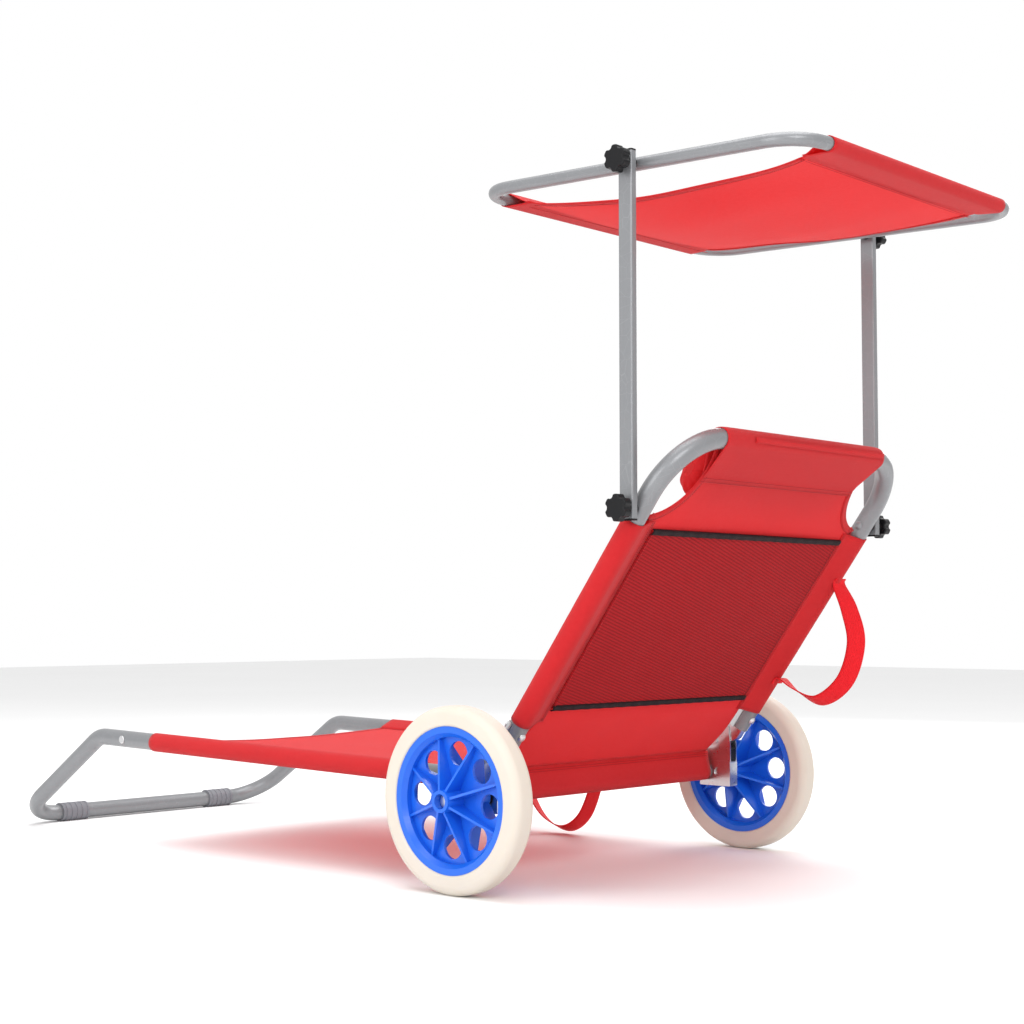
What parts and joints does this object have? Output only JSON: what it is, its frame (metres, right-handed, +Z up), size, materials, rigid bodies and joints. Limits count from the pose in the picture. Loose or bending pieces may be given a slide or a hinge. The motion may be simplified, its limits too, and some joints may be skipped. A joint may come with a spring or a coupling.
{
  "type": "beach cart",
  "caption": "Folding beach lounger cart: cloth seat and backrest on a bent tube frame, a tilting sun canopy on posts, and wheels at the hinge.",
  "frame": {"origin": "on the ground, at the middle of the cart's length and width", "axes": "+Y towards the head end, -Y towards the foot end, +X to the lounger's left, +Z up"},
  "size_m": [0.67, 1.5354, 0.8863],
  "materials": {
    "red_canvas": "plain woven polyester, matt",
    "red_mesh": "open knitted mesh, matt",
    "red_webbing": "woven webbing",
    "black_binding": "woven tape",
    "grey_frame": "silver-grey powder coat, satin",
    "zinc_steel": "bright zinc plate",
    "blue_plastic": "moulded, satin gloss",
    "cream_foam": "foam rubber, matt",
    "black_plastic": "moulded",
    "grey_plastic": "moulded, ribbed"
  },
  "bodies": {
    "leg_frame": {"foot_tube": "grey_frame", "seat_crossbar": "grey_frame", "seat_sling": "red_canvas", "anchor_flap": "red_canvas", "leg_handle": "red_webbing", "leg_rail_left": "grey_frame", "leg_rail_right": "grey_frame", "rail_end_plug_left": "black_plastic", "rail_end_plug_right": "black_plastic", "foot_rivet_left": "zinc_steel", "foot_rivet_right": "zinc_steel", "foot_pad_left": "grey_plastic", "foot_pad_right": "grey_plastic", "hinge_bracket_left": "zinc_steel", "hinge_bracket_right": "zinc_steel", "pivot_bolt_left": "zinc_steel", "pivot_bolt_right": "zinc_steel", "axle_left": "zinc_steel", "axle_right": "zinc_steel", "axle_cap_left": "zinc_steel", "axle_cap_right": "zinc_steel", "wheel_washer_left": "black_plastic", "wheel_washer_right": "black_plastic"},
    "backrest": {"back_frame": "grey_frame", "back_sling": "red_canvas", "mesh_pocket": "red_mesh", "pocket_binding_top": "black_binding", "pocket_binding_bottom": "black_binding", "head_pillow": "red_canvas", "back_handle": "red_webbing", "hinge_arm_left": "zinc_steel", "hinge_arm_right": "zinc_steel", "arm_bolt_left": "zinc_steel", "arm_bolt_right": "zinc_steel", "post_bolt_left": "zinc_steel", "post_bolt_right": "zinc_steel", "post_spacer_left": "black_plastic", "post_spacer_right": "black_plastic"},
    "posts": {"post_left": "grey_frame", "post_right": "grey_frame", "post_plugs_left": "black_plastic", "post_plugs_right": "black_plastic"},
    "canopy": {"canopy_frame": "grey_frame", "canopy_sling": "red_canvas", "canopy_bolt_left": "zinc_steel", "canopy_bolt_right": "zinc_steel", "canopy_spacer_left": "black_plastic", "canopy_spacer_right": "black_plastic"},
    "wheel_left": {"hub_left": "blue_plastic", "tyre_left": "cream_foam"},
    "wheel_right": {"hub_right": "blue_plastic", "tyre_right": "cream_foam"},
    "lower_knob_left": {"lower_knob_left": "black_plastic"},
    "lower_knob_right": {"lower_knob_right": "black_plastic"},
    "upper_knob_left": {"upper_knob_left": "black_plastic"},
    "upper_knob_right": {"upper_knob_right": "black_plastic"}
  },
  "joints": [
    {"name": "backrest_fold", "type": "hinge", "parent": "leg_frame", "child": "backrest", "pos_m": [0, 0.28181, 0.16], "axis": [1, 0, 0], "range_deg": [0, 121]},
    {"name": "post_turn", "type": "hinge", "parent": "backrest", "child": "posts", "pos_m": [0, 0.52738, 0.46305], "axis": [1, 0, 0], "range_deg": [-123, 2]},
    {"name": "canopy_tilt", "type": "hinge", "parent": "posts", "child": "canopy", "pos_m": [0, 0.52738, 0.86955], "axis": [1, 0, 0], "range_deg": [-85, 85]},
    {"name": "wheel_left_spin", "type": "hinge", "parent": "leg_frame", "child": "wheel_left", "pos_m": [0.305, 0.28681, 0.115], "axis": [1, 0, 0], "continuous": true},
    {"name": "wheel_right_spin", "type": "hinge", "parent": "leg_frame", "child": "wheel_right", "pos_m": [-0.305, 0.28681, 0.115], "axis": [1, 0, 0], "continuous": true},
    {"name": "lower_knob_left_turn", "type": "hinge", "parent": "backrest", "child": "lower_knob_left", "pos_m": [0.2845, 0.52738, 0.46305], "axis": [1, 0, 0], "continuous": true},
    {"name": "lower_knob_right_turn", "type": "hinge", "parent": "backrest", "child": "lower_knob_right", "pos_m": [-0.2845, 0.52738, 0.46305], "axis": [-1, 0, 0], "continuous": true},
    {"name": "upper_knob_left_turn", "type": "hinge", "parent": "canopy", "child": "upper_knob_left", "pos_m": [0.2845, 0.52738, 0.86955], "axis": [1, 0, 0], "continuous": true},
    {"name": "upper_knob_right_turn", "type": "hinge", "parent": "canopy", "child": "upper_knob_right", "pos_m": [-0.2845, 0.52738, 0.86955], "axis": [-1, 0, 0], "continuous": true}
  ],
  "couplings": [
    {"joint": "post_turn", "follows": "backrest_fold", "ratio": -1}
  ]
}
